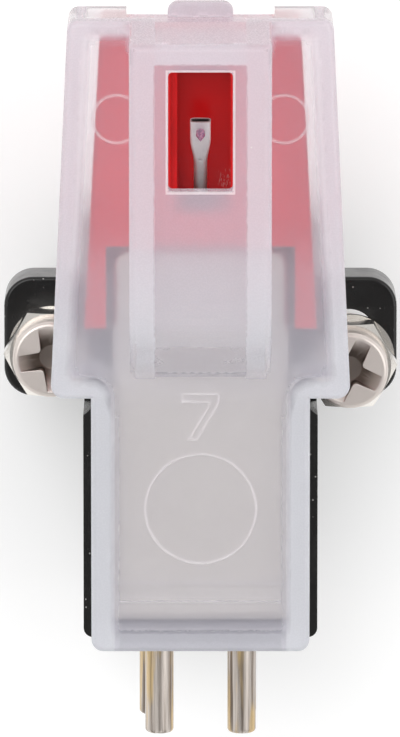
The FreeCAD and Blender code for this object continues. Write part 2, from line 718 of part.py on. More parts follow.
def stylus_guard():
    guard = round_rim(prism(guard_plan(0), tray_top_z, guard_top_z), guard_top_z, GUARD_EDGE_R)
    guard = guard.fuse(guard_hump())
    guard = guard.cut(prism(guard_plan(GUARD_WALL), tray_top_z - OVERCUT, guard_inner_z))
    guard = guard.cut(hump_openings())
    wide = guard_leg_half + GUARD_WALL + OVERCUT
    guard = guard.cut(block(-wide, wide, guard_step_y - GUARD_STEP_R, guard_front_y + OVERCUT,
                            tray_top_z - OVERCUT, guard_skirt_z))
    guard = guard.cut(block(-guard_can_half, guard_can_half, guard_rear_y - OVERCUT, guard_inner_rear_y,
                            tray_top_z - OVERCUT, block_top_z + GUARD_REAR_CLEAR))
    notch_half = NOTCH_WIDTH / 2
    guard = guard.cut(block(-notch_half, notch_half, guard_inner_front_y, guard_front_y + OVERCUT,
                            guard_skirt_z - OVERCUT, notch_z))
    rib_y = can_rear_y + RIB_INSET
    rib = block(-guard_can_half, guard_can_half, rib_y, rib_y + RIB_T, can_top_z + RIB_GAP, guard_inner_z)
    for piece in [finger_tab(), rib] + guard_marks():
        guard = guard.fuse(piece)
    return guard.removeSplitter()


def cross_recess():
    """Cross that the driver fits: arms that narrow outwards, with ends that slope down to the middle."""
    low = head_top_z - CROSS_DEPTH
    slope = (CROSS_REACH - CROSS_ROOT) / CROSS_DEPTH
    top_r = CROSS_REACH + slope * OVERCUT
    inner, outer = CROSS_WIDTH / 2, CROSS_END_WIDTH / 2
    arm = [(top_r, -outer, SQUARE), (top_r, outer, SQUARE), (inner, inner, CROSS_CORNER_R)]
    plan = []
    for turn in range(4):
        plan += arm
        arm = [(-y, x, radius) for x, y, radius in arm]
    cross = prism(plan, low, head_top_z + OVERCUT)
    return cross.common(Part.makeCone(CROSS_ROOT, top_r, CROSS_DEPTH + OVERCUT, V(0, 0, low)))


def screw(x, y, turn):
    head = round_rim(rod(HEAD_R, nut_top_z, head_top_z), head_top_z, HEAD_EDGE_R)
    end_z = nut_top_z - SCREW_LENGTH
    thread = Part.makeCone(THREAD_R - SCREW_TIP_BEVEL, THREAD_R, SCREW_TIP_BEVEL, V(0, 0, end_z))
    thread = thread.fuse(rod(THREAD_R, end_z + SCREW_TIP_BEVEL, 0))
    shape = head.fuse(rod(thread_core_r, 0, nut_top_z)).fuse(thread).cut(cross_recess())
    shape.rotate(V(0, 0, 0), V(0, 0, 1), turn)
    shape.translate(V(x, y, 0))
    return shape.removeSplitter()


def nut(x, y):
    angles = [i * 2 * math.pi / NUT_SIDES for i in range(NUT_SIDES)]
    points = [(nut_corner_r * math.cos(a), nut_corner_r * math.sin(a), SQUARE) for a in angles]
    hexagon = prism(points, washer_top_z, nut_top_z)
    waist_r = NUT_ACROSS_FLATS / 2
    turned = rod(nut_corner_r, washer_top_z + NUT_BEVEL, nut_top_z - NUT_BEVEL)
    lower = Part.makeCone(waist_r, nut_corner_r, NUT_BEVEL, V(0, 0, washer_top_z))
    upper = Part.makeCone(nut_corner_r, waist_r, NUT_BEVEL, V(0, 0, nut_top_z - NUT_BEVEL))
    shape = hexagon.common(turned.fuse(lower).fuse(upper))
    shape = shape.cut(rod(thread_core_r, washer_top_z - OVERCUT, nut_top_z + OVERCUT))
    shape.translate(V(x, y, 0))
    return shape


def washer(x, y):
    shape = tube(WASHER_R, THREAD_R + WASHER_CLEARANCE, FLANGE_T, washer_top_z)
    shape.translate(V(x, y, 0))
    return shape


def mirrored(shape):
    return shape.mirror(V(0, 0, 0), X_AXIS)


def build():
    nodes = pins()
    nodes["terminal_block"] = terminal_block(list(nodes.values()))
    nodes["mount_body"] = mount_body()
    nodes["shield_can"] = shield_can()
    nodes["coil_carrier"] = coil_carrier()
    for name, shape in (("core", core()), ("bobbin", bobbin()), ("coil", coil())):
        nodes[name + "_right"] = shape
        nodes[name + "_left"] = mirrored(shape)
    nodes["stylus_holder"] = stylus_holder()
    nodes["pivot_sleeve"] = pivot_sleeve()
    nodes["damper"] = damper()
    nodes["cantilever"] = cantilever()
    nodes["stylus_tip"] = stylus_tip()
    nodes["magnet_carrier"] = magnet_carrier()
    nodes["magnet_left"] = magnet(-1)
    nodes["magnet_right"] = magnet(1)
    nodes["tension_wire"] = tension_wire()
    nodes["wire_anchor"] = wire_anchor()
    nodes["stylus_guard"] = stylus_guard()
    nodes["screw_left"] = screw(-slot_x, screw_left_y, SCREW_LEFT_TURN)
    nodes["screw_right"] = screw(slot_x, screw_right_y, SCREW_RIGHT_TURN)
    nodes["nut_left"] = nut(-slot_x, screw_left_y)
    nodes["nut_right"] = nut(slot_x, screw_right_y)
    nodes["washer_left"] = washer(-slot_x, screw_left_y)
    nodes["washer_right"] = washer(slot_x + WASHER_RIGHT_SHIFT, screw_right_y + WASHER_RIGHT_SHIFT)
    return nodes


os.makedirs("parts", exist_ok=True)
for node, solid in build().items():
    solid.exportStep(f"parts/{node}.step")
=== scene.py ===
import json
import math

import bmesh
import bpy
from mathutils import Matrix, Vector
from mathutils.bvhtree import BVHTree


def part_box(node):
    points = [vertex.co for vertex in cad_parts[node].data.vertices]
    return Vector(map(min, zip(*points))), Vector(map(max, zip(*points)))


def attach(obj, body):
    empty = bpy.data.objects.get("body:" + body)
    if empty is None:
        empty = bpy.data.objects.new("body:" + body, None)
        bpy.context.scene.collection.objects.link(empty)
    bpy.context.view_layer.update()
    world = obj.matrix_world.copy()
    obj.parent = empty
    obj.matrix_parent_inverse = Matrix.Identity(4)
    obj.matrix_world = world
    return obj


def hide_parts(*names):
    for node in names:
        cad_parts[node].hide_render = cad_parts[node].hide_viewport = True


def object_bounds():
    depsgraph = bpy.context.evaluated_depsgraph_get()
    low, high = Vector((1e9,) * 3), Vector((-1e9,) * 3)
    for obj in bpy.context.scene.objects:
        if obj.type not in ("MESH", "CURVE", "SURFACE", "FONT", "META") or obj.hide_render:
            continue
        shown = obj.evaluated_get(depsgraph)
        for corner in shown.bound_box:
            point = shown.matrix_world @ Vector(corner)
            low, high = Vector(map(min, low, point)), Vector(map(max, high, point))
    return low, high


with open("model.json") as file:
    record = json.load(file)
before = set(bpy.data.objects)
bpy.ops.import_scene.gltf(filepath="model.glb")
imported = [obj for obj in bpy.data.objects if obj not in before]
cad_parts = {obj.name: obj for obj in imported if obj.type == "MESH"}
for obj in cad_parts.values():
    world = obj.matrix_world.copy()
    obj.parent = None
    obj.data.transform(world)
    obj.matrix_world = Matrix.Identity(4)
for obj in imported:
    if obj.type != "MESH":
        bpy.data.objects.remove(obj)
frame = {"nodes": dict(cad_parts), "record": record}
CAD_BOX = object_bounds()
NODES = frame["nodes"]

# The frame is in metres. Sizes below are in millimetres, and those times MM are in metres.
MM = 0.001
# Texture scales are written as features per millimetre times PER_MM.
PER_MM = 1000.0


# Small helpers

def rgb(red, green, blue):
    return (red, green, blue, 1.0)


def grey(level):
    return rgb(level, level, level)


def smooth_step(value, low, high):
    """Eases from 0 at low to 1 at high."""
    share = min(max((value - low) / (high - low), 0.0), 1.0)
    return share * share * (3 - 2 * share)


# Node materials

# Most of a noise's values lie between these
NOISE_RANGE = (0.3, 0.7)


def socket_label(word):
    """A socket's name as Blender writes it, such as Specular IOR Level for specular_ior_level."""
    return word.replace("_", " ").title().replace("Ior", "IOR")


class Paint:
    """A material around one Principled shader, with short calls for the nodes that feed it."""

    def __init__(self, name, **sockets):
        self.material = bpy.data.materials.new(name)
        self.material.use_nodes = True
        self.tree = self.material.node_tree
        self.shader = self.tree.nodes["Principled BSDF"]
        self.place = self.node("TexCoord").outputs["Object"]
        for word, value in sockets.items():
            self.shader.inputs[socket_label(word)].default_value = value

    def node(self, kind, inputs=None, **settings):
        """A new node with its settings made and its inputs fed."""
        made = self.tree.nodes.new("ShaderNode" + kind)
        for name, value in settings.items():
            setattr(made, name, value)
        for key, value in (inputs or {}).items():
            self.feed(made.inputs[key], value)
        return made

    def feed(self, socket, value):
        """Links a socket to another one, or gives it a plain value."""
        if isinstance(value, bpy.types.NodeSocket):
            self.tree.links.new(value, socket)
        else:
            socket.default_value = value

    def along(self):
        """How far along the object a point lies: its y."""
        return self.node("SeparateXYZ", {0: self.place}).outputs["Y"]

    def attribute(self, name):
        """A value that the mesh keeps at each of its points."""
        return self.node("Attribute", attribute_name=name).outputs["Fac"]

    def noise(self, scale, detail=3.0, roughness=0.55, place=None):
        inputs = {"Vector": place or self.place, "Scale": scale, "Detail": detail, "Roughness": roughness}
        return self.node("TexNoise", inputs).outputs["Fac"]

    def streaks(self, per_mm, detail=3.0, roughness=0.6):
        """Noise with its own number of features per millimetre along each axis."""
        scale = [rate * PER_MM for rate in per_mm]
        place = self.node("Mapping", {"Vector": self.place, "Scale": scale}).outputs["Vector"]
        return self.noise(1.0, detail, roughness, place)

    def cells(self, scale):
        """Voronoi distance and a random value per cell."""
        made = self.node("TexVoronoi", {"Vector": self.place, "Scale": scale})
        return made.outputs["Distance"], made.outputs["Color"]

    def math(self, operation, a, b=0.0):
        return self.node("Math", {0: a, 1: b}, operation=operation).outputs[0]

    def span(self, value, low, high, to_low=0.0, to_high=1.0):
        """Maps value from low..high to to_low..to_high, clamped."""
        inputs = {"Value": value, "From Min": low, "From Max": high, "To Min": to_low, "To Max": to_high}
        return self.node("MapRange", inputs, clamp=True).outputs["Result"]

    def blend(self, share, first, second, way="MIX"):
        """The second colour over the first, by its share."""
        inputs = {"Factor": share, "A": first, "B": second}
        return self.node("Mix", inputs, data_type="RGBA", blend_type=way).outputs["Result"]

    def times(self, first, second):
        """Product of two colours."""
        return self.blend(1.0, first, second, "MULTIPLY")

    def shade(self, share, first, second):
        """The second shader over the first, by its share."""
        return self.node("MixShader", {0: share, 1: first, 2: second}).outputs[0]

    def colour(self, value):
        self.feed(self.shader.inputs["Base Color"], value)

    def rough(self, value):
        self.feed(self.shader.inputs["Roughness"], value)

    def rough_by(self, noise, low, high):
        """Roughness that follows a noise from a low value to a high one."""
        self.rough(self.span(noise, *NOISE_RANGE, low, high))

    def surface(self, shader):
        self.feed(self.tree.nodes["Material Output"].inputs["Surface"], shader)

    def bump(self, height, depth, strength=1.0):
        inputs = {"Height": height, "Distance": depth, "Strength": strength}
        self.feed(self.shader.inputs["Normal"], self.node("Bump", inputs).outputs["Normal"])


# A speck is solid up to this share of its size; cells are chosen by their random value, this softly
SPECK_CORE = 0.6
SPECK_CHOICE = 0.02


def specks(paint, scale, size, share):
    """Mask of small round specks in some of the cells of a random pattern."""
    distance, random = paint.cells(scale)
    near = paint.span(distance, size, size * SPECK_CORE)
    chosen = paint.span(random, 1 - share, 1 - share + SPECK_CHOICE)
    return paint.math("MULTIPLY", near, chosen)


# Depth of the fine grain on moulded and plated surfaces
GRAIN_DEPTH = 0.003 * MM

# The black moulding: its two tones, and where and how strongly pale scuffs cover it
BLACKS = (rgb(0.006, 0.0055, 0.0055), rgb(0.013, 0.012, 0.0115))
SCUFF_RANGE, SCUFF_COVER = (0.66, 0.74), 0.35
SCUFF_GREY, DUST_GREY = rgb(0.10, 0.098, 0.095), rgb(0.34, 0.33, 0.32)


def black_moulding():
    """Glossy black plastic with dust, pale scuffs and a slightly uneven sheen."""
    paint = Paint("black_moulding", specular_ior_level=0.4)
    blotch = paint.noise(0.9 * PER_MM, detail=4)
    grain = paint.noise(22 * PER_MM, detail=2)
    scuff = paint.streaks((9, 1.6, 4), roughness=0.7)
    dust = specks(paint, 3.0 * PER_MM, size=0.13, share=0.44)
    base = paint.blend(blotch, *BLACKS)
    base = paint.blend(paint.span(scuff, *SCUFF_RANGE, 0, SCUFF_COVER), base, SCUFF_GREY)
    paint.colour(paint.blend(dust, base, DUST_GREY))
    paint.rough_by(blotch, 0.14, 0.27)
    paint.bump(grain, GRAIN_DEPTH, strength=0.5)
    return paint.material


# The can: its two tones, and the darker lines of its grain
CAN_GREYS = (rgb(0.565, 0.53, 0.485), rgb(0.635, 0.60, 0.555))
BRUSHED_RANGE, BRUSHED_COVER = (0.35, 0.65), 0.25
BRUSHED_GREY = rgb(0.44, 0.41, 0.38)
BRUSHED_DEPTH = 0.002 * MM


def can_metal():
    """Satin drawn metal with a fine grain along its length."""
    paint = Paint("can_metal", metallic=1.0)
    brushed = paint.streaks((14, 0.7, 14))
    cloud = paint.noise(0.45 * PER_MM)
    base = paint.blend(cloud, *CAN_GREYS)
    paint.colour(paint.blend(paint.span(brushed, *BRUSHED_RANGE, 0, BRUSHED_COVER), base, BRUSHED_GREY))
    paint.rough_by(brushed, 0.46, 0.60)
    paint.bump(brushed, BRUSHED_DEPTH, strength=0.5)
    return paint.material


# The red moulding: its two tones, and the middle and fading of the painted glint of pale streaks on the
# holder
REDS = (rgb(0.60, 0.007, 0.009), rgb(0.68, 0.009, 0.011))
GLINT_PLACE = (1.05 * MM, 8.75 * MM, 9.95 * MM)
GLINT_REACH = (0.45 * MM, 0.20 * MM)
GLINT_STREAK_RANGE = (0.58, 0.64)
GLINT_PINK, RED_DUST = rgb(0.80, 0.52, 0.50), rgb(0.85, 0.70, 0.68)
GLINT_ROUGH = 0.4


def red_moulding():
    """Glossy red plastic, with a painted glint of pale pink streaks in the rear right corner of the recess.
    """
    paint = Paint("red_moulding", specular_ior_level=0.35)
    cloud = paint.noise(0.5 * PER_MM)
    grain = paint.noise(12 * PER_MM)
    dust = specks(paint, 1.1 * PER_MM, size=0.05, share=0.16)
    apart = {0: paint.place, 1: GLINT_PLACE}
    away = paint.node("VectorMath", apart, operation="DISTANCE").outputs["Value"]
    glint_streaks = paint.streaks((30, 4, 6), detail=2)
    # Painted glint: pale pink streaks standing in for a reflection in the recess corner
    glint = paint.math("MULTIPLY", paint.span(away, *GLINT_REACH), paint.span(glint_streaks, *GLINT_STREAK_RANGE))
    base = paint.blend(cloud, *REDS)
    base = paint.blend(glint, base, GLINT_PINK)
    paint.colour(paint.blend(dust, base, RED_DUST))
    sheen = paint.span(cloud, *NOISE_RANGE, 0.14, 0.24)
    paint.rough(paint.math("ADD", sheen, paint.math("MULTIPLY", glint, GLINT_ROUGH)))
    paint.bump(grain, GRAIN_DEPTH, strength=0.4)
    return paint.material


# Names of what the guard's mesh keeps at each point: depth of plastic in millimetres, and strength of the
# painted highlight on its rings, numeral and window rim
DEPTH_NAME = "plastic_depth"
HIGHLIGHT_NAME = "painted_edge_highlight"
# Colours of the milk over thin plastic and over deep plastic, with those depths
THIN_MILK = (rgb(0.71, 0.69, 0.79), rgb(0.76, 0.74, 0.83))
DEEP_MILK = rgb(0.755, 0.762, 0.805)
MILK_COLOUR_DEPTHS = (1.0, 4.0)
# The painted highlight's white on the rings, numeral and window rim, and the white of dust
HIGHLIGHT_WHITE, GUARD_DUST = rgb(0.98, 0.94, 0.95), grey(0.96)
# The milk over the red holder has a painted red glow, as light from the holder, growing from the first y to
# the second, and is darker where the plastic is deepest
PAINTED_RED_GLOW, DEEP_RED_GLOW = rgb(1.04, 0.945, 0.965), rgb(0.93, 0.845, 0.865)
RED_GLOW_Y = (3.0 * MM, 8.0 * MM)
DEEP_GLOW_DEPTHS = (5.0, 7.5)
# How much of a surface the milk covers, over thin plastic and over deep plastic, with those depths,
# and how much the painted highlight and a speck of dust cover
MILK_DEPTHS = (1.0, 4.5)
MILK_COVERS = (0.18, 0.90)
HIGHLIGHT_COVER, DUST_COVER = 0.8, 0.5
# Share of the milk's cover that still lets a lamp's light on, since milk scatters most light forwards
MILK_LAMP_SHARE = 0.7
# Share of the milk's light that comes through it from behind
LIT_THROUGH_SHARE = 0.35
# The clear part: colour of the light that each surface lets through, its bending, and its blur where
# light enters and where it leaves
GUARD_TINT = rgb(0.92, 0.92, 0.915)
GUARD_IOR = 1.3
ENTER_BLUR, LEAVE_BLUR = grey(0.12), grey(0.42)


def frosted_plastic():
    """Milky plastic: the deeper the plastic under a point, the whiter and the less clear it is; a painted
    red glow lies over the holder, and a painted highlight on the rings, numeral and window rim.
    """
    paint = Paint("frosted_plastic", specular_ior_level=0.5)
    depth = paint.attribute(DEPTH_NAME)
    highlight = paint.attribute(HIGHLIGHT_NAME)
    from_lamp = paint.node("LightPath").outputs["Is Shadow Ray"]
    leaving = paint.node("NewGeometry").outputs["Backfacing"]
    cloud = paint.noise(0.35 * PER_MM)
    frost = paint.noise(14 * PER_MM)
    dust = specks(paint, 0.9 * PER_MM, size=0.05, share=0.2)

    thin = paint.blend(cloud, *THIN_MILK)
    milk = paint.blend(paint.span(depth, *MILK_COLOUR_DEPTHS), thin, DEEP_MILK)
    # Painted red glow, as light from the red holder under the milk
    red_glow = paint.blend(paint.span(depth, *DEEP_GLOW_DEPTHS), PAINTED_RED_GLOW, DEEP_RED_GLOW)
    milk = paint.blend(paint.span(paint.along(), *RED_GLOW_Y), milk, paint.times(milk, red_glow))
    # Painted highlight on the rings, numeral and window rim
    milk = paint.blend(highlight, milk, HIGHLIGHT_WHITE)
    milk = paint.blend(dust, milk, GUARD_DUST)
    paint.colour(milk)
    paint.rough_by(frost, 0.22, 0.32)
    lit_through = paint.node("BsdfTranslucent", {"Color": milk}).outputs[0]
    body = paint.shade(LIT_THROUGH_SHARE, paint.shader.outputs[0], lit_through)

    blur = paint.blend(leaving, ENTER_BLUR, LEAVE_BLUR)
    clear_inputs = {"Color": GUARD_TINT, "IOR": GUARD_IOR, "Roughness": blur}
    glass = paint.node("BsdfGlass", clear_inputs).outputs[0]
    clear = paint.shade(from_lamp, glass, paint.node("BsdfTransparent").outputs[0])

    cover = paint.span(depth, *MILK_DEPTHS, *MILK_COVERS)
    cover = paint.math("MAXIMUM", cover, paint.math("MULTIPLY", highlight, HIGHLIGHT_COVER))
    cover = paint.math("MAXIMUM", cover, paint.math("MULTIPLY", dust, DUST_COVER))
    cover = paint.math("MULTIPLY", cover, paint.span(from_lamp, 0.0, 1.0, 1.0, 1.0 - MILK_LAMP_SHARE))
    paint.surface(paint.shade(cover, clear, body))
    return paint.material


# How much painted shade a point takes, from 0 to 1, in the screws' recess and the cantilever's slit, and
# how much the painted shade covers there
RECESS_SHADE_NAME = "painted_recess_shade"
RECESS_SHADE_COVER = 0.85


def with_recess_shade(paint, base, shade_colour):
    """The base colour, with painted shade where the mesh is marked for it."""
    return paint.blend(paint.math("MULTIPLY", paint.attribute(RECESS_SHADE_NAME), RECESS_SHADE_COVER), base, shade_colour)


# Plating of the screws, and of the nuts and washers: its two tones, then the colours of pits and of the
# painted shade in the screws' recess
SCREW_NICKEL = (rgb(0.74, 0.68, 0.64), rgb(0.66, 0.59, 0.55))
NUT_NICKEL = (rgb(0.84, 0.81, 0.77), rgb(0.74, 0.70, 0.65))
PIT_BROWN, RECESS_SHADE = rgb(0.16, 0.13, 0.11), rgb(0.10, 0.075, 0.06)


def plated(name, tones, grain_scale, low_rough, high_rough):
    """Nickel plating with fine grain, faint stains and small pits, and painted shade where the mesh is
    marked for it.
    """
    paint = Paint(name, metallic=1.0)
    stain = paint.noise(0.8 * PER_MM, detail=4)
    grain = paint.noise(grain_scale)
    pits = specks(paint, 2.6 * PER_MM, size=0.12, share=0.12)
    base = paint.blend(stain, *tones)
    base = paint.blend(pits, base, PIT_BROWN)
    # Painted shade in the screw head's recess
    paint.colour(with_recess_shade(paint, base, RECESS_SHADE))
    paint.rough_by(grain, low_rough, high_rough)
    paint.bump(grain, GRAIN_DEPTH, strength=0.4)
    return paint.material


# The pins: bare metal and its dark lengthwise streaks, which are painted reflections, worn gold and fine
# dark scratches, each with where and how strongly it shows
PIN_REFLECTION_TONES, REFLECTION_STREAK_RANGE = (rgb(0.66, 0.60, 0.55), rgb(0.24, 0.20, 0.17)), (0.38, 0.62)
PIN_GOLD, GOLD_RANGE, GOLD_COVER = rgb(0.64, 0.47, 0.24), (0.50, 0.62), 0.8
PIN_DARK, FINE_RANGE, FINE_COVER = rgb(0.09, 0.07, 0.055), (0.56, 0.68), 0.75
PIN_SCRATCH_DEPTH = 0.006 * MM


def pin_metal():
    """Drawn pin: dark lengthwise streaks painted as reflections, worn gold patches and fine scratches."""
    paint = Paint("pin_metal", metallic=1.0)
    reflection_streak = paint.streaks((5.5, 0.10, 5.5))
    fine = paint.streaks((22, 0.25, 22))
    worn = paint.streaks((2.2, 0.30, 2.2), detail=2, roughness=0.5)
    # Painted reflections: dark lengthwise streaks on the bare metal
    reflected_nickel = paint.blend(paint.span(reflection_streak, *REFLECTION_STREAK_RANGE), *PIN_REFLECTION_TONES)
    gold = paint.blend(paint.span(worn, *GOLD_RANGE, 0, GOLD_COVER), reflected_nickel, PIN_GOLD)
    paint.colour(paint.blend(paint.span(fine, *FINE_RANGE, 0, FINE_COVER), gold, PIN_DARK))
    paint.rough_by(fine, 0.24, 0.42)
    paint.bump(fine, PIN_SCRATCH_DEPTH, strength=0.7)
    return paint.material


# The cantilever's colour is painted darker towards its root, as shade and dark reflections of the hump's
# inside and the pivot, and bright at its flat end
SHADED_Y, LIT_Y = 8.6 * MM, 10.9 * MM
LIT_METAL = (rgb(0.70, 0.69, 0.68), rgb(0.86, 0.85, 0.84))
SHADED_METAL = (rgb(0.26, 0.25, 0.24), rgb(0.36, 0.35, 0.34))
# Painted shade inside the cantilever's slit
SLIT_SHADE = rgb(0.03, 0.028, 0.026)


def cantilever_metal():
    """Drawn light metal with a fine grain along it, painted darker towards its root as shade and dark
    reflections, and with painted shade in its slit.
    """
    paint = Paint("cantilever_metal", metallic=1.0)
    drawn = paint.streaks((30, 4, 8))
    cloud = paint.noise(3 * PER_MM)
    lit = paint.blend(cloud, *LIT_METAL)
    shaded = paint.blend(cloud, *SHADED_METAL)
    # Painted shade and dark reflections towards the root
    base = paint.blend(paint.span(paint.along(), SHADED_Y, LIT_Y), shaded, lit)
    # Painted shade in the slit
    paint.colour(with_recess_shade(paint, base, SLIT_SHADE))
    paint.rough_by(drawn, 0.42, 0.58)
    paint.bump(drawn, GRAIN_DEPTH, strength=0.6)
    return paint.material


# Lit and shaded pinks of the stone, painted as the light and shade of its facets
JEWEL_LIT_AND_SHADED_PINKS, JEWEL_RANGE = (rgb(0.60, 0.24, 0.38), rgb(0.27, 0.10, 0.22)), (0.4, 0.6)


def jewel():
    """Clear pink stone with painted darker and lighter places, standing in for the light and shade of its
    facets.
    """
    paint = Paint("jewel", transmission_weight=0.3, ior=2.2, roughness=0.08)
    facet_light = paint.noise(9 * PER_MM, detail=2)
    paint.colour(paint.blend(paint.span(facet_light, *JEWEL_RANGE), *JEWEL_LIT_AND_SHADED_PINKS))
    return paint.material


# Tones of the plain metals
SLEEVE_TONES = (rgb(0.50, 0.52, 0.56), rgb(0.38, 0.40, 0.45))
MAGNET_TONES = (rgb(0.24, 0.24, 0.25), rgb(0.16, 0.16, 0.17))
CORE_TONES = (rgb(0.48, 0.47, 0.46), rgb(0.36, 0.35, 0.34))


def bare_steel(name, tones):
    """Plain metal with faint clouds and a fine grain."""
    paint = Paint(name, metallic=1.0)
    cloud = paint.noise(2 * PER_MM)
    grain = paint.noise(16 * PER_MM, detail=2)
    paint.colour(paint.blend(cloud, *tones))
    paint.rough_by(grain, 0.28, 0.45)
    paint.bump(grain, GRAIN_DEPTH, strength=0.4)
    return paint.material


RUBBER_BLACKS = (rgb(0.014, 0.014, 0.014), rgb(0.032, 0.031, 0.030))


def rubber():
    """Dull black rubber."""
    paint = Paint("rubber", specular_ior_level=0.3)
    grain = paint.noise(20 * PER_MM)
    paint.colour(paint.blend(grain, *RUBBER_BLACKS))
    paint.rough_by(grain, 0.6, 0.8)
    return paint.material


IVORIES = (rgb(0.66, 0.60, 0.46), rgb(0.74, 0.69, 0.55))


def ivory_plastic():
    """Satin cream plastic of the bobbins."""
    paint = Paint("ivory_plastic", specular_ior_level=0.4)
    cloud = paint.noise(0.8 * PER_MM)
    paint.colour(paint.blend(cloud, *IVORIES))
    paint.rough_by(cloud, 0.38, 0.5)
    return paint.material


COPPERS = (rgb(0.26, 0.08, 0.02), rgb(0.62, 0.26, 0.09))
TURN_DEPTH = 0.02 * MM


def winding():
    """Fine copper wire, wound in turns that lie across the bobbin's length."""
    paint = Paint("winding", metallic=0.6)
    wave = {"Vector": paint.place, "Scale": 4.0 * PER_MM, "Distortion": 0.4}
    turns = paint.node("TexWave", wave, bands_direction="Y").outputs["Fac"]
    paint.colour(paint.blend(turns, *COPPERS))
    paint.rough(paint.span(turns, 0.0, 1.0, 0.5, 0.3))
    paint.bump(turns, TURN_DEPTH, strength=0.7)
    return paint.material


def dress_nodes():
    """Gives every node a finished material, by the slot that the record names."""
    finishes = {
        "black_moulding": black_moulding(),
        "can_metal": can_metal(),
        "red_moulding": red_moulding(),
        "guard_plastic": frosted_plastic(),
        "screw_nickel": plated("screw_nickel", SCREW_NICKEL, 18 * PER_MM, low_rough=0.34, high_rough=0.46),
        "nut_nickel": plated("nut_nickel", NUT_NICKEL, 14 * PER_MM, low_rough=0.10, high_rough=0.22),
        "pin_metal": pin_metal(),
        "cantilever_metal": cantilever_metal(),
        "diamond": jewel(),
        "sleeve_metal": bare_steel("sleeve_metal", SLEEVE_TONES),
        "damper_rubber": rubber(),
        "magnet_metal": bare_steel("magnet_metal", MAGNET_TONES),
        "core_metal": bare_steel("core_metal", CORE_TONES),
        "bobbin_plastic": ivory_plastic(),
        "winding": winding(),
    }
    for row in frame["record"]["subparts"]:
        NODES[row["node"]].material_slots[0].material = finishes[row["material_slot"]]
    return finishes


# Meshes that stand for nodes

# Points closer than this are one, and faces that bend less than this are one flat face
JOIN_WITHIN = 0.001 * MM
FLAT_WITHIN = math.radians(0.5)
# Edges that turn more than this are bevelled, in this many steps
SHARP_ANGLE = math.radians(35)
BEVEL_STEPS = 2
# Edges of a finished mesh that turn more than this stay sharp in its shading
CREASE_ANGLE, TUBE_CREASE_ANGLE = math.radians(40), math.radians(50)


def merged_copy(node):
    """The node's mesh as a bmesh, with its split points joined and its flat faces whole."""
    shape = bmesh.new()
    shape.from_mesh(NODES[node].data)
    bmesh.ops.remove_doubles(shape, verts=shape.verts, dist=JOIN_WITHIN)
    bmesh.ops.dissolve_limit(shape, angle_limit=FLAT_WITHIN, verts=shape.verts, edges=shape.edges)
    return shape


def soften_edges(shape, width, chosen=lambda edge: True):
    """Bevels the sharp edges that are chosen."""
    sharp = [e for e in shape.edges if len(e.link_faces) == 2 and e.calc_face_angle() > SHARP_ANGLE]
    sharp = [e for e in sharp if chosen(e)]
    bmesh.ops.bevel(shape, geom=sharp, offset=width, offset_type="OFFSET", segments=BEVEL_STEPS,
                    profile=0.5, affect="EDGES", clamp_overlap=False)


def drop_old_normals(mesh):
    """Removes the normals that came with a node's mesh, which don't fit the changed faces."""
    old = mesh.attributes.get("custom_normal")
    if old:
        mesh.attributes.remove(old)


def new_piece(name, shape, material, crease):
    """A visible piece from a bmesh, smooth but for the edges that turn more than crease."""
    mesh = bpy.data.meshes.new(name)
    shape.to_mesh(mesh)
    shape.free()
    drop_old_normals(mesh)
    mesh.shade_smooth()
    mesh.materials.append(material)
    piece = bpy.data.objects.new(name, mesh)
    bpy.context.collection.objects.link(piece)
    weighted = piece.modifiers.new("even_flats", "WEIGHTED_NORMAL")
    weighted.keep_sharp = True
    mesh.set_sharp_from_angle(angle=crease)
    return piece


def add_ring(shape, points):
    return [shape.verts.new(point) for point in points]


def join_rings(shape, first, second):
    for i in range(len(first)):
        after = (i + 1) % len(first)
        shape.faces.new((first[i], first[after], second[after], second[i]))


def loft(shape, sections):
    """Skins rings of points in turn, closes the first of them, and gives back the last ring."""
    ring = None
    for points in sections:
        new_ring = add_ring(shape, points)
        if ring:
            join_rings(shape, ring, new_ring)
        else:
            shape.faces.new(new_ring[::-1])
        ring = new_ring
    return ring


# The stylus guard, with softened edges and the depth of its plastic kept at each point

GUARD_EDGE = 0.09 * MM
HUMP_TOP_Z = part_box("stylus_guard")[1].z
# All sharp edges above this height are softened
OPEN_Z = HUMP_TOP_Z - 0.05 * MM
# Longest edges of the guard's mesh: on faces that look up or forward, where the milk's changes show,
# and elsewhere
FINE_STEP, COARSE_STEP = 0.34 * MM, 0.8 * MM
MOST_HALVINGS = 8
# A face looks up, is about level, looks forward or looks down by these parts of its normal
UPWARD, LEVEL, FORWARD, DOWNWARD = 0.15, 0.9, 0.6, -0.3
# Rays start this far off the surface they leave, or this far inside it, in millimetres
RAY_LIFT, RAY_SINK = 0.02, 0.01
# The top over a sample point is looked for from this far above it, and this far down
PROBE_LIFT, PROBE_REACH = Vector((0, 0, 0.3 * MM)), 0.8 * MM
DOWN = Vector((0, 0, -1))
# Depth is averaged over a small disc, since the milk blurs what lies under it: radii and points of its
# rings. The hump shows sharper edges than the plate, so there only the innermost ring counts.
DISC_RINGS = ((0.042 * MM, 4), (0.22 * MM, 8), (0.42 * MM, 8))
INNER_RING = 4
# Inner walls of the guard, in millimetres: half widths of the hump's cavity and of the can's part, the
# walls across the guard by their y and the way to their plastic, and the tapered side wall from (x, y)
# to (x, y)
CAVITY_HALF, CAVITY_FRONT_Y = 1.9, 14.47
CAN_PART_HALF = 3.76
CROSS_WALLS = ((-10.04, -1), (-8.85, 1), (-8.10, -1), (0.65, -1), (15.14, 1))
TAPER_WALL = ((5.45, 0.65), (4.70, 15.14))
# Heights of the level faces over them, inside the plate and inside the hump
CEILINGS_Z = (12.0, 15.8)
# The mesh is cut along the walls at these distances from them: a steep ramp in depth, or a gentle one
STEEP_RAMP = (-0.05, 0.05)
GENTLE_RAMP = (-0.42, -0.30, -0.21, -0.13, -0.05, 0.05)
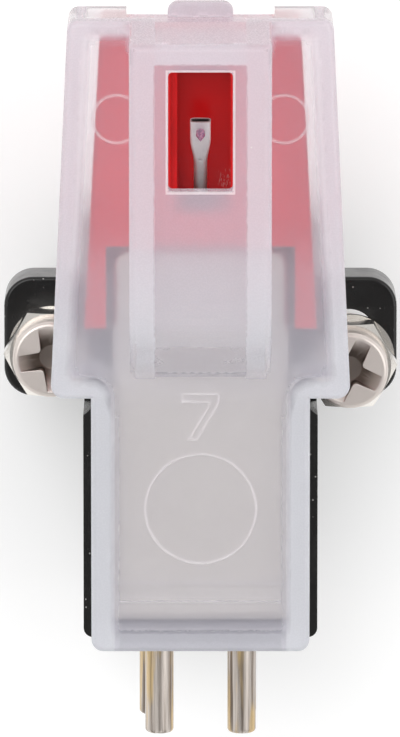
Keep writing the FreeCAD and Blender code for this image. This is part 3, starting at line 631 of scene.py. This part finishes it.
# Inner face and top of the guard's plate
PLATE_INNER_Z, PLATE_TOP_Z = 12.0 * MM, 13.02 * MM
# The marks are raised inside the plate, between these heights
MARK_LOW_Z, MARK_HIGH_Z = 11.93 * MM, PLATE_INNER_Z - 0.005 * MM
# The hump's top, its front wall, the finger tab and the rear wall are at least as milky as plastic this
# deep
HUMP_TOP_DEPTH, HUMP_FRONT_DEPTH, TAB_DEPTH, REAR_WALL_DEPTH = 1.9, 2.8, 8.0, 2.6
HUMP_SLAB_Z, HUMP_FRONT_Y, TAB_Y, REAR_WALL_Y = 15.7 * MM, 14.5 * MM, 15.78 * MM, -10.06 * MM
HUMP_HALF = 2.95 * MM
# So is the plate beside the hump, over the legs and the front of the can, fading at its rear and front
PLATE_DEPTH, LEG_PLATE_DEPTH = 1.0, 1.5
LEG_REAR_FADE, LEG_FRONT_FADE = (-1.0, 1.5), (4.5, 7.5)
# The window's rim catches the light: half width, rear and front of the window, the reach of the bright
# rim, and where it starts and ends with a little slack
WINDOW_HALF, WINDOW_REAR_Y, WINDOW_FRONT_Y, RIM_REACH = 1.33, 9.22, 14.16, 0.09
RIM_START, RIM_END = -0.02, RIM_REACH + 0.01
RIM_LOW_Z = HUMP_TOP_Z - 0.1 * MM
RIM_RAMP = (0.0, 0.03)
# Strength of the painted highlight on the rings and the numeral, and on the rim
RING_HIGHLIGHT, RIM_HIGHLIGHT = 0.85, 0.85


def outside_edges(shape, open_z):
    """Test for the edges that stand clear: above open_z, or with nothing of the shape ahead of them."""
    shape.normal_update()
    tree = BVHTree.FromBMesh(shape)

    def stands_clear(edge):
        middle = (edge.verts[0].co + edge.verts[1].co) / 2
        if middle.z > open_z:
            return True
        ahead = [tree.ray_cast(middle + f.normal * RAY_LIFT * MM, f.normal)[0] for f in edge.link_faces]
        return edge.is_convex and not any(ahead)

    return stands_clear


def in_view(face):
    return face.normal.z > UPWARD or face.normal.y > FORWARD


def longest_allowed(edge):
    return FINE_STEP if any(in_view(face) for face in edge.link_faces) else COARSE_STEP


def divide_long_edges(shape):
    """Halves long edges until none is longer than its faces allow."""
    bmesh.ops.triangulate(shape, faces=shape.faces)
    for _ in range(MOST_HALVINGS):
        shape.normal_update()
        long_edges = [e for e in shape.edges if e.calc_length() > longest_allowed(e)]
        if not long_edges:
            break
        bmesh.ops.subdivide_edges(shape, edges=long_edges, cuts=1)
        bmesh.ops.triangulate(shape, faces=shape.faces)


def cut_lines():
    """Upright planes to cut the guard's mesh along, each as a point, a direction and its ramp."""
    (x0, y0), (x1, y1) = TAPER_WALL
    lines = [((0, CAVITY_FRONT_Y, 0), (0, 1, 0), STEEP_RAMP),
             ((0, WINDOW_REAR_Y - RIM_REACH, 0), (0, -1, 0), RIM_RAMP),
             ((0, WINDOW_FRONT_Y + RIM_REACH, 0), (0, 1, 0), RIM_RAMP)]
    lines += [((0, y, 0), (0, way, 0), GENTLE_RAMP) for y, way in CROSS_WALLS]
    for side in (-1, 1):
        lines += [((side * CAVITY_HALF, 0, 0), (side, 0, 0), STEEP_RAMP),
                  ((side * (WINDOW_HALF + RIM_REACH), 0, 0), (side, 0, 0), RIM_RAMP),
                  ((side * CAN_PART_HALF, 0, 0), (side, 0, 0), GENTLE_RAMP),
                  ((side * x0, y0, 0), (side * (y1 - y0), x0 - x1, 0), GENTLE_RAMP)]
    return lines


def cut(shape, faces, place, across):
    """Cuts some faces along the plane through a place, given in millimetres, square to a direction."""
    edges = list(dict.fromkeys(edge for face in faces for edge in face.edges))
    verts = list(dict.fromkeys(vert for face in faces for vert in face.verts))
    bmesh.ops.bisect_plane(shape, geom=verts + edges + faces, plane_co=place * MM, plane_no=across)
    shape.normal_update()


def cut_along_walls(shape):
    """Cuts the mesh beside each inner wall and ceiling, so that depth changes in straight ramps."""
    shape.normal_update()
    for height in CEILINGS_Z:
        for offset in STEEP_RAMP:
            cut(shape, shape.faces[:], Vector((0, 0, height + offset)), Vector((0, 0, 1)))
    for place, direction, ramp in cut_lines():
        across = Vector(direction).normalized()
        for offset in ramp:
            faces = [face for face in shape.faces if in_view(face)]
            cut(shape, faces, Vector(place) + across * offset, across)


def highlight_strength(point):
    """How strong the painted highlight is at a point: on the raised rings and numeral, and on the window's
    rim.
    """
    if MARK_LOW_Z < point.z < MARK_HIGH_Z:
        return RING_HIGHLIGHT
    past_side = abs(point.x) / MM - WINDOW_HALF
    past_end = max(WINDOW_REAR_Y - point.y / MM, point.y / MM - WINDOW_FRONT_Y)
    on_rim = point.z > RIM_LOW_Z and RIM_START < max(past_side, past_end) < RIM_END
    return RIM_HIGHLIGHT if on_rim else 0.0


def least_depth(point):
    """Depth in millimetres that a point of the guard is given at least."""
    if point.y > TAB_Y:
        return TAB_DEPTH
    if point.y < REAR_WALL_Y:
        return REAR_WALL_DEPTH
    if point.y > HUMP_FRONT_Y and abs(point.x) < HUMP_HALF:
        return HUMP_FRONT_DEPTH
    if point.z > HUMP_SLAB_Z:
        return HUMP_TOP_DEPTH
    along = point.y / MM
    over_legs = smooth_step(along, *LEG_REAR_FADE) * (1 - smooth_step(along, *LEG_FRONT_FADE))
    return PLATE_DEPTH + (LEG_PLATE_DEPTH - PLATE_DEPTH) * over_legs


def disc_offsets():
    """Places of the sample points in a level disc, none of them straight along or across the guard."""
    offsets = []
    for radius, points in DISC_RINGS:
        for i in range(points):
            angle = 2 * math.pi * (i + 0.5) / points
            offsets.append(Vector((radius * math.cos(angle), radius * math.sin(angle), 0)))
    return offsets


DISC_OFFSETS = disc_offsets()


def depth_under(tree, point):
    """Millimetres of plastic straight under a point, averaged over the disc's points that meet any."""
    depths = []
    for offset in DISC_OFFSETS if point.z < PLATE_TOP_Z else DISC_OFFSETS[:INNER_RING]:
        top = tree.ray_cast(point + offset + PROBE_LIFT, DOWN, PROBE_REACH)[0]
        if top is not None:
            below = tree.ray_cast(top + DOWN * RAY_SINK * MM, DOWN)[3]
            depths.append(below or 0.0)
    return sum(depths) / len(depths) / MM if depths else 0.0


def faces_inside(tree, vert):
    """Whether a point lies on an inner face: one that faces down, or has more of the guard ahead."""
    ahead = tree.ray_cast(vert.co + vert.normal * RAY_LIFT * MM, vert.normal)[0]
    return vert.normal.z < DOWNWARD or ahead is not None


def depth_at(tree, vert):
    """Depth in millimetres that a point shows: its least depth, or the plastic behind an outer face."""
    depths = [least_depth(vert.co)]
    if not faces_inside(tree, vert):
        if vert.normal.z > UPWARD:
            depths.append(depth_under(tree, vert.co))
        if vert.normal.z < LEVEL:
            inward = tree.ray_cast(vert.co - vert.normal * RAY_SINK * MM, -vert.normal)[3]
            depths.append((inward or 0.0) / MM)
    return max(depths)


def keep_depths(shape):
    """Stores, at each point, how many millimetres of plastic it shows and how strong its painted highlight
    is.
    """
    shape.normal_update()
    tree = BVHTree.FromBMesh(shape)
    depth_layer = shape.verts.layers.float.new(DEPTH_NAME)
    highlight_layer = shape.verts.layers.float.new(HIGHLIGHT_NAME)
    for vert in shape.verts:
        vert[depth_layer] = depth_at(tree, vert)
        vert[highlight_layer] = highlight_strength(vert.co)


def frosted_guard(material):
    """The guard's own mesh with soft outer edges, divided finely enough to carry its depths."""
    shape = merged_copy("stylus_guard")
    soften_edges(shape, GUARD_EDGE, outside_edges(shape, OPEN_Z))
    cut_along_walls(shape)
    divide_long_edges(shape)
    keep_depths(shape)
    piece = new_piece("frosted_guard", shape, material, CREASE_ANGLE)
    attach(piece, "guard")
    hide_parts("stylus_guard")


# The cantilever: a tube that is pressed flat towards its end, with a slit left in the end

PIVOT = Vector((0, 7.0, 10.35)) * MM
CANTILEVER_TILT = math.radians(27)
TUBE_R = 0.28
TUBE_TAIL, TUBE_END = -1.2, 5.17
FLAT_FROM, FLAT_AT = 3.0, 4.3
FLAT_HALF_WIDTH, FLAT_HALF_T = 0.43, 0.18
SLIT_HALF_WIDTH, SLIT_HALF_T, SLIT_DEPTH = 0.35, 0.075, 0.4
# Squareness of a section: 2 is round, and more has flatter faces and tighter edges
ROUND, FLAT_GAIN, SLIT_SQUARENESS = 2, 1.6, 3
# The dent is full depth up to this share of its radius
DENT_AT, DENT_R, DENT_DEPTH, DENT_FLOOR = 3.3, 0.09, 0.05, 0.3
TUBE_STEPS, TUBE_SIDES = 130, 64


def on_cantilever(across, up, along):
    """Point given in millimetres across, square to, and along the cantilever from its pivot."""
    sine, cosine = math.sin(CANTILEVER_TILT), math.cos(CANTILEVER_TILT)
    return PIVOT + Vector((across, along * cosine - up * sine, along * sine + up * cosine)) * MM


def squashed_ring(half_width, half_t, squareness):
    """Points round a flattened circle."""
    points = []
    for i in range(TUBE_SIDES):
        angle = 2 * math.pi * i / TUBE_SIDES
        x, y = math.cos(angle), math.sin(angle)
        points.append((half_width * math.copysign(abs(x) ** (2 / squareness), x),
                       half_t * math.copysign(abs(y) ** (2 / squareness), y)))
    return points


def dented(across, up, along):
    """Height of a point on the tube, lowered inside the small round dent."""
    away = math.hypot(across, along - DENT_AT)
    return up - DENT_DEPTH * (1 - smooth_step(away, DENT_FLOOR * DENT_R, DENT_R)) if up > 0 else up


def tube_sections():
    """Rings of points along the cantilever, from its tail to its end."""
    for step in range(TUBE_STEPS + 1):
        along = TUBE_TAIL + (TUBE_END - TUBE_TAIL) * step / TUBE_STEPS
        flat = smooth_step(along, FLAT_FROM, FLAT_AT)
        half_width = TUBE_R + (FLAT_HALF_WIDTH - TUBE_R) * flat
        half_t = TUBE_R + (FLAT_HALF_T - TUBE_R) * flat
        plan = squashed_ring(half_width, half_t, ROUND + FLAT_GAIN * flat)
        yield [on_cantilever(x, dented(x, y, along), along) for x, y in plan]


def pressed_cantilever(material):
    """The tube, with the slit sunk into its end and painted shade in the slit."""
    shape = bmesh.new()
    shade_layer = shape.verts.layers.float.new(RECESS_SHADE_NAME)
    end = loft(shape, tube_sections())
    slit_plan = squashed_ring(SLIT_HALF_WIDTH, SLIT_HALF_T, SLIT_SQUARENESS)
    rim = add_ring(shape, [on_cantilever(x, y, TUBE_END) for x, y in slit_plan])
    floor = add_ring(shape, [on_cantilever(x, y, TUBE_END - SLIT_DEPTH) for x, y in slit_plan])
    join_rings(shape, end, rim)
    join_rings(shape, rim, floor)
    shape.faces.new(floor)
    # The slit's points take the painted shade
    for vert in rim + floor:
        vert[shade_layer] = 1.0
    bmesh.ops.recalc_face_normals(shape, faces=shape.faces)
    piece = new_piece("pressed_cantilever", shape, material, TUBE_CREASE_ANGLE)
    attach(piece, "cantilever")
    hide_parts("cantilever")


# The screws, with a helical thread cut on their studs

THREAD_PITCH = 0.4
THREAD_ROOT_R, THREAD_CREST_R = 0.79, 1.0
THREAD_LOW_Z, THREAD_HIGH_Z, THREAD_END_BEVEL = -3.6, 0.0, 0.2
THREAD_SIDES, THREAD_STEPS = 48, 108
# A ridge rises between these shares of the way from its root to its crest
RIDGE_RISE = (0.12, 0.88)
# The node's smooth stud is cut off at this height
STUD_CUT_Z = 0.001 * MM
SCREW_EDGE = 0.035 * MM
# Painted shade lies in the head's recess, and keeps this far from the head's top and underside
RECESS_R, RECESS_DEPTH, HEAD_H = 1.42, 0.6, 1.2
SHADE_MARGIN = 0.05


def thread_radius(turn, z):
    """Radius of the thread at a share of a turn and a height, in millimetres."""
    phase = (z / THREAD_PITCH - turn) % 1.0
    ridge = smooth_step(1 - abs(2 * phase - 1), *RIDGE_RISE)
    radius = THREAD_ROOT_R + (THREAD_CREST_R - THREAD_ROOT_R) * ridge
    end_limit = THREAD_CREST_R - THREAD_END_BEVEL + (z - THREAD_LOW_Z)
    return min(radius, end_limit)


def thread_sections(x, y):
    """Rings of points up a threaded stud round (x, y)."""
    for step in range(THREAD_STEPS + 1):
        z = THREAD_LOW_Z + (THREAD_HIGH_Z - THREAD_LOW_Z) * step / THREAD_STEPS
        points = []
        for side in range(THREAD_SIDES):
            angle = 2 * math.pi * side / THREAD_SIDES
            radius = thread_radius(side / THREAD_SIDES, z)
            points.append(Vector((x + radius * math.cos(angle), y + radius * math.sin(angle), z)) * MM)
        yield points


def keep_recess_shade(shape, middle, top_z):
    """Marks the points of the head's recess for painted shade, more so the deeper they lie."""
    shade_layer = shape.verts.layers.float.new(RECESS_SHADE_NAME)
    for vert in shape.verts:
        x, y, z = vert.co / MM
        below = top_z / MM - z
        if math.hypot(x - middle.x, y - middle.y) < RECESS_R and below < HEAD_H - SHADE_MARGIN:
            vert[shade_layer] = smooth_step(below, SHADE_MARGIN, RECESS_DEPTH)


def threaded_screw(side, material):
    """The node's own head, on a stud with a thread."""
    node = "screw_" + side
    shape = merged_copy(node)
    low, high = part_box(node)
    whole = shape.verts[:] + shape.edges[:] + shape.faces[:]
    bmesh.ops.bisect_plane(shape, geom=whole, plane_co=(0, 0, STUD_CUT_Z), plane_no=(0, 0, 1),
                           clear_inner=True)
    soften_edges(shape, SCREW_EDGE)
    middle = (low + high) / 2 / MM
    shape.faces.new(loft(shape, thread_sections(middle.x, middle.y)))
    # The head's recess takes painted shade
    keep_recess_shade(shape, middle, high.z)
    piece = new_piece("threaded_screw_" + side, shape, material, CREASE_ANGLE)
    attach(piece, "cartridge")
    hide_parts(node)


# Floor, light and camera

# The floor's size, how far it lies under the screw ends, its two whites with their features per metre,
# and how much it glows to the eye
FLOOR_SIZE = 3.0
FLOOR_DROP = 0.02 * MM
FLOOR_WHITES, FLOOR_CLOUDS = (grey(0.85), grey(0.87)), 8.0
FLOOR_GLOW = 0.20


def pale_floor():
    """White floor under the screw ends; it shows white to the eye and to gloss, and keeps the shadow."""
    low_z = CAD_BOX[0].z
    bpy.ops.mesh.primitive_plane_add(size=FLOOR_SIZE, location=(0, 0, low_z - FLOOR_DROP))
    floor = bpy.context.object
    floor.name = "floor"
    paint = Paint("floor_white", roughness=0.9, specular_ior_level=0.0)
    cloud = paint.noise(FLOOR_CLOUDS, detail=2)
    paint.colour(paint.blend(cloud, *FLOOR_WHITES))
    path = paint.node("LightPath").outputs
    seen = paint.math("ADD", path["Is Camera Ray"], path["Is Glossy Ray"])
    seen = paint.math("ADD", seen, path["Is Transmission Ray"])
    paint.feed(paint.shader.inputs["Emission Strength"], paint.math("MULTIPLY", seen, FLOOR_GLOW))
    paint.shader.inputs["Emission Color"].default_value = grey(1)
    floor.data.materials.append(paint.material)


# Brightness of the surroundings, from level (0) to straight up (1)
WORLD_STOPS = ((0.0, 0.45), (0.3, 0.95), (0.7, 0.95), (0.88, 0.65), (0.96, 0.38), (1.0, 0.32))


def studio_world():
    """Soft light all round, brightest at middle height and dimmer straight above."""
    world = bpy.data.worlds.new("studio")
    bpy.context.scene.world = world
    world.use_nodes = True
    tree = world.node_tree
    place = tree.nodes.new("ShaderNodeTexCoord")
    split = tree.nodes.new("ShaderNodeSeparateXYZ")
    ramp = tree.nodes.new("ShaderNodeValToRGB")
    tree.links.new(place.outputs["Generated"], split.inputs[0])
    tree.links.new(split.outputs["Z"], ramp.inputs["Fac"])
    stops = ramp.color_ramp.elements
    while len(stops) < len(WORLD_STOPS):
        stops.new(0.5)
    for stop, (height, level) in zip(stops, WORLD_STOPS):
        stop.position = height
        stop.color = grey(level)
    tree.links.new(ramp.outputs["Color"], tree.nodes["Background"].inputs["Color"])


def soft_box(name, place, size, power):
    """Square soft light that points at the frame's origin."""
    data = bpy.data.lights.new(name, "AREA")
    data.shape = "SQUARE"
    data.size = size
    data.energy = power
    light = bpy.data.objects.new(name, data)
    light.location = place
    light.rotation_euler = (-Vector(place)).to_track_quat("-Z", "Y").to_euler()
    bpy.context.collection.objects.link(light)


# The view: tilted from straight above the stylus side towards the stylus end
VIEW_TILT = math.radians(10)
VIEW_DISTANCE_MM = 370.0
VIEW_AIM_MM = (-0.02, -1.06)
PIXELS_PER_MM = 23.2
FRAME_HEIGHT_PX = 737
SENSOR = 36.0


def photo_camera():
    """Camera at the photograph's viewing angle."""
    data = bpy.data.cameras.new("camera")
    data.sensor_fit = "VERTICAL"
    data.sensor_height = SENSOR
    data.lens = SENSOR * PIXELS_PER_MM * VIEW_DISTANCE_MM / FRAME_HEIGHT_PX
    camera = bpy.data.objects.new("camera", data)
    turn = Matrix.Rotation(-VIEW_TILT, 3, "X")
    camera.location = turn @ Vector((*VIEW_AIM_MM, VIEW_DISTANCE_MM)) * MM
    camera.rotation_euler = turn.to_euler()
    bpy.context.collection.objects.link(camera)
    bpy.context.scene.camera = camera


finishes = dress_nodes()
frosted_guard(finishes["guard_plastic"])
pressed_cantilever(finishes["cantilever_metal"])
for side in ("left", "right"):
    threaded_screw(side, finishes["screw_nickel"])
pale_floor()
studio_world()
soft_box("key", place=(-0.22, 0.24, 0.60), size=0.50, power=1.6)
soft_box("fill", place=(0.38, 0.10, 0.45), size=0.45, power=0.75)
photo_camera()
bpy.context.scene.view_settings.view_transform = "Standard"
